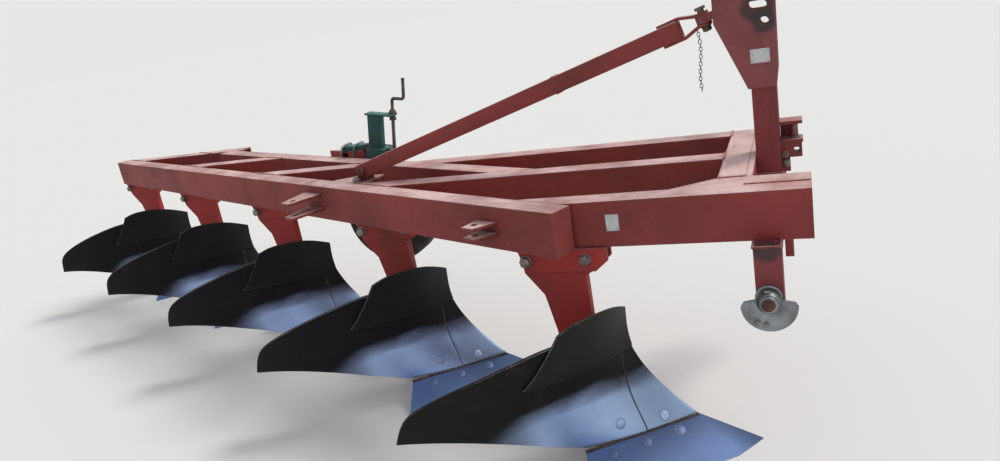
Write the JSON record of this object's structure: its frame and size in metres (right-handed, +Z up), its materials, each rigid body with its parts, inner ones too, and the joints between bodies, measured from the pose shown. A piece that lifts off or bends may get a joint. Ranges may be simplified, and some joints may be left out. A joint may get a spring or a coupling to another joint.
{
  "type": "moldboard plough",
  "caption": "Mounted moldboard plough: diagonal box-section frame with a headstock mast and sloping brace, curved moldboard bodies on shanks, and a depth wheel on a sliding leg.",
  "frame": {"origin": "middle of the bounding box in plan, on the ground that the shares stand on", "axes": "+X is the direction of travel, +Y is the land side (left), +Z is up"},
  "size_m": [4.4578, 2.1892, 1.38],
  "materials": {
    "red_paint": "weathered red-brown paint, matte",
    "board_steel": "soil-polished steel with brown stains",
    "dark_steel": "dark worn steel",
    "zinc": "dull zinc plate",
    "wheel_green": "worn teal paint",
    "dark_tyre": "dusty black tyre"
  },
  "bodies": {
    "plough": {"main_beam": "red_paint", "hangers": "red_paint", "side_lugs": "red_paint", "second_beam": "red_paint", "rail_1": "red_paint", "rail_2": "red_paint", "rail_3": "red_paint", "rail_4": "red_paint", "rail_5": "red_paint", "rail_6": "red_paint", "head_crossbar": "red_paint", "head_crosstube": "red_paint", "wheel_stub": "red_paint", "mast_post": "red_paint", "mast_head": "red_paint", "mast_bracket": "red_paint", "brace": "red_paint", "brace_foot": "red_paint", "hitch_leg_right": "red_paint", "hitch_leg_left": "red_paint", "link_pin_right": "zinc", "link_pin_left": "zinc", "link_guide_right": "zinc", "link_guide_left": "zinc", "shank_1": "red_paint", "shank_2": "red_paint", "shank_3": "red_paint", "shank_4": "red_paint", "shank_5": "red_paint", "moldboard_1": "board_steel", "moldboard_2": "board_steel", "moldboard_3": "board_steel", "moldboard_4": "board_steel", "moldboard_5": "board_steel", "extension_1": "dark_steel", "extension_2": "dark_steel", "extension_3": "dark_steel", "extension_4": "dark_steel", "extension_5": "dark_steel", "shin_1": "board_steel", "shin_2": "board_steel", "shin_3": "board_steel", "shin_4": "board_steel", "shin_5": "board_steel", "share_1": "board_steel", "share_2": "board_steel", "share_3": "board_steel", "share_4": "board_steel", "share_5": "board_steel", "landside_1": "dark_steel", "landside_2": "dark_steel", "landside_3": "dark_steel", "landside_4": "dark_steel", "landside_5": "dark_steel", "wheel_clamp": "wheel_green"},
    "wheel_leg": {"wheel_leg": "wheel_green", "wheel_crank": "dark_steel"},
    "depth_wheel": {"wheel_rim": "wheel_green", "wheel_tyre": "dark_tyre"}
  },
  "joints": [
    {"name": "depth_leg_slide", "type": "slide", "parent": "plough", "child": "wheel_leg", "axis": [0.1736, 0, 0.9848], "range_m": [-0.12, 0.04]},
    {"name": "depth_wheel_spin", "type": "hinge", "parent": "wheel_leg", "child": "depth_wheel", "pos_m": [0.27026, 0.50708, 0.537], "axis": [0, 1, 0], "continuous": true}
  ]
}
